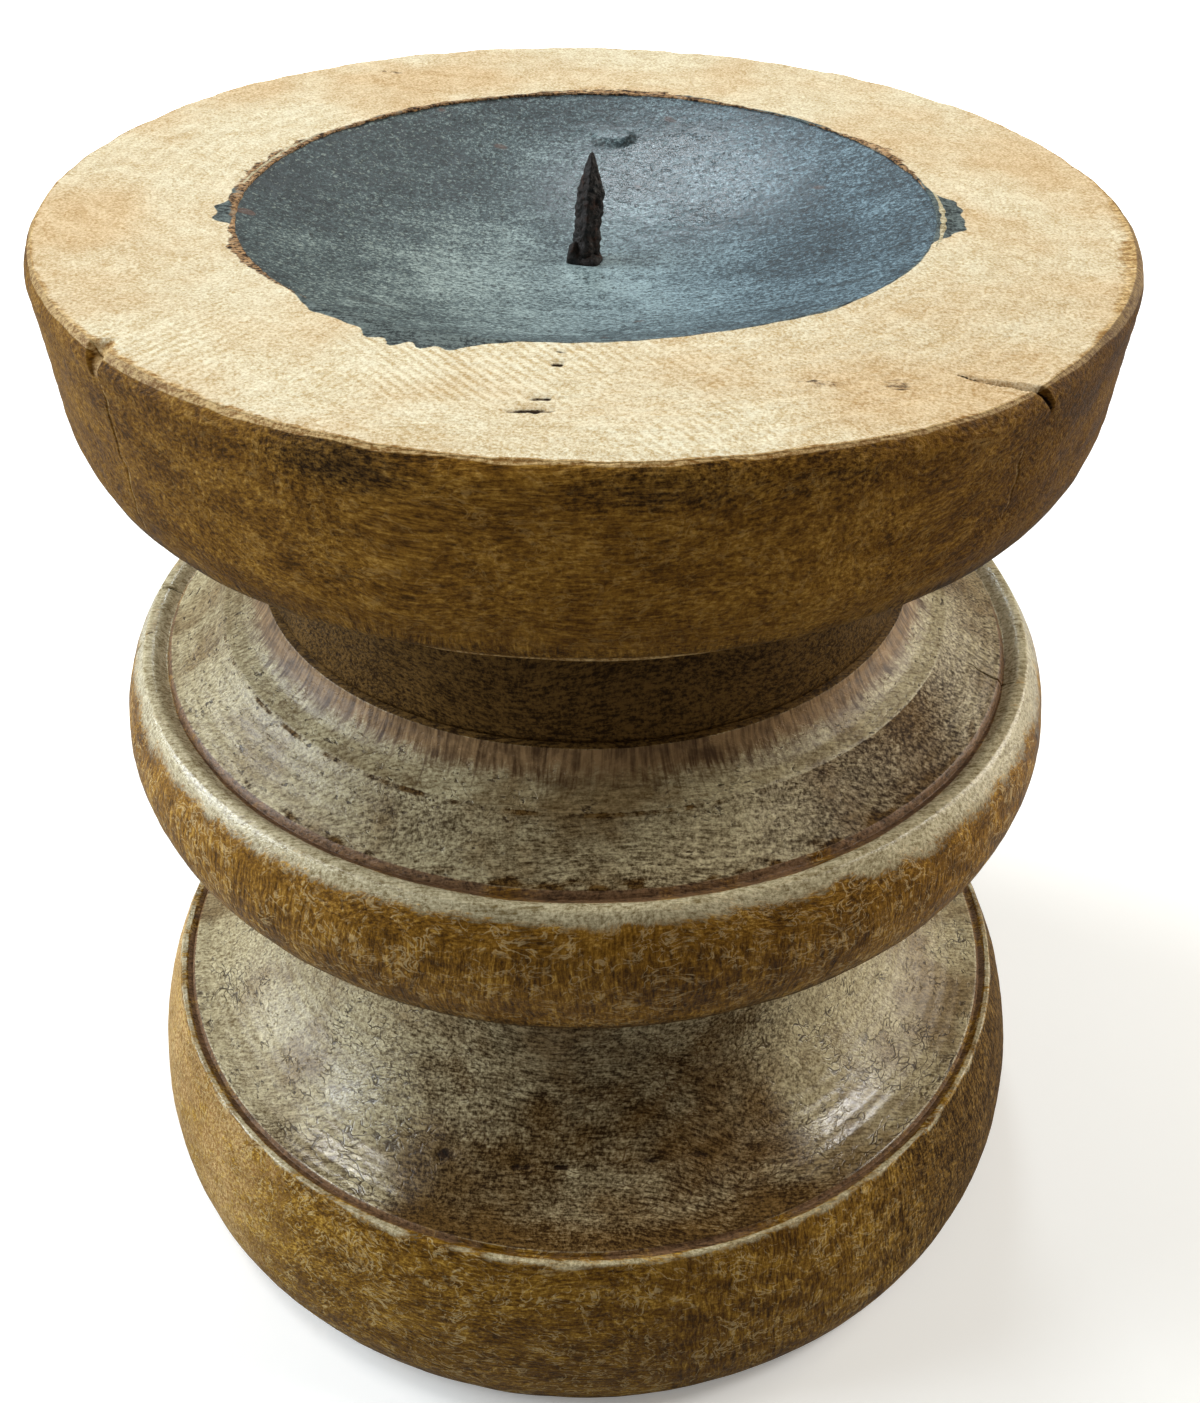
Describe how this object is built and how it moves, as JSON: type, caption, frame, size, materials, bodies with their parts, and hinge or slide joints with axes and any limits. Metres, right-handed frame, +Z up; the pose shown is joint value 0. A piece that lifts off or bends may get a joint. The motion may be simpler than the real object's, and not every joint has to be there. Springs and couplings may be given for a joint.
{
  "type": "pricket candle stand",
  "caption": "Squat turned wooden candle stand: wide foot, ring and cup on one axis, with a shallow grey iron dish in the top and a forged spike that holds a pillar candle.",
  "frame": {"origin": "middle of the underside, on the surface that the stand rests on", "axes": "+Z up along the axis of turning, towards the spike's point; -Y towards the picture's viewer, +X to the viewer's right"},
  "size_m": [0.1974, 0.1974, 0.217],
  "materials": {
    "turned_wood": "brown stain under worn satin lacquer, sawn pale on top",
    "dowel_wood": "bare long-grain dowel",
    "dish_paint": "slate grey paint, satin, scuffed",
    "spike_iron": "forged, brown-black rust"
  },
  "bodies": {
    "root": {"foot_block": "turned_wood", "ring_block": "turned_wood", "cup_block": "turned_wood", "lower_dowel": "dowel_wood", "upper_dowel": "dowel_wood", "dish": "dish_paint", "spike": "spike_iron", "spike_weld": "spike_iron"}
  },
  "joints": []
}
